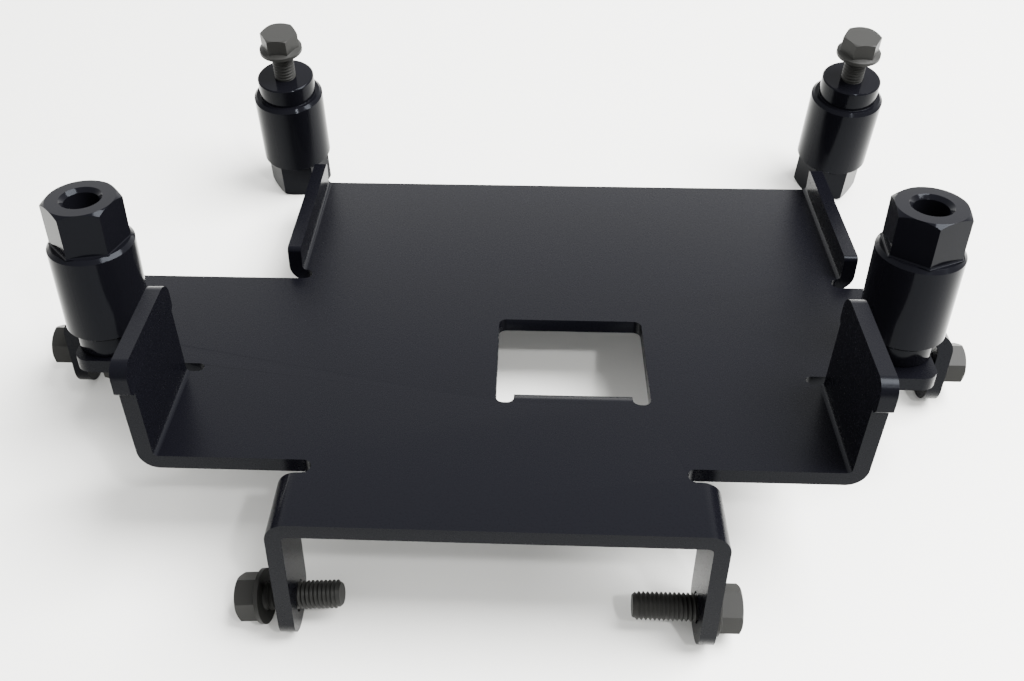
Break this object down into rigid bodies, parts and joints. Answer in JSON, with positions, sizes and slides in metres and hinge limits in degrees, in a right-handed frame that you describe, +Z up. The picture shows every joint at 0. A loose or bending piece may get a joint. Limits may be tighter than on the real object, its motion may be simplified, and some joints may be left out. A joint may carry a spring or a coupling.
{
  "type": "battery mounting tray",
  "caption": "Folded steel battery tray with legs, upright tabs and a window, with turned standoff posts and flange bolts.",
  "frame": {"origin": "on the table, under the middle of the whole part's box", "axes": "+X to the tray's right seen from its front legs, +Y towards its low rear edge, +Z up"},
  "size_m": [0.3022, 0.2154, 0.0872],
  "materials": {
    "powder_coated_sheet": "satin black powder coat",
    "painted_post": "semi-gloss black paint over turned steel",
    "phosphated_bolt": "dark phosphate and oil"
  },
  "bodies": {
    "root": {"tray": "powder_coated_sheet", "front_standoff_left": "painted_post", "front_standoff_right": "painted_post", "rear_standoff_left": "painted_post", "rear_standoff_right": "painted_post", "front_standoff_bolt_left": "phosphated_bolt", "front_leg_bolt_left": "phosphated_bolt", "side_leg_bolt_left": "phosphated_bolt", "front_standoff_bolt_right": "phosphated_bolt", "front_leg_bolt_right": "phosphated_bolt", "side_leg_bolt_right": "phosphated_bolt", "rear_standoff_bolt_left": "phosphated_bolt", "rear_standoff_bolt_right": "phosphated_bolt"}
  },
  "joints": []
}
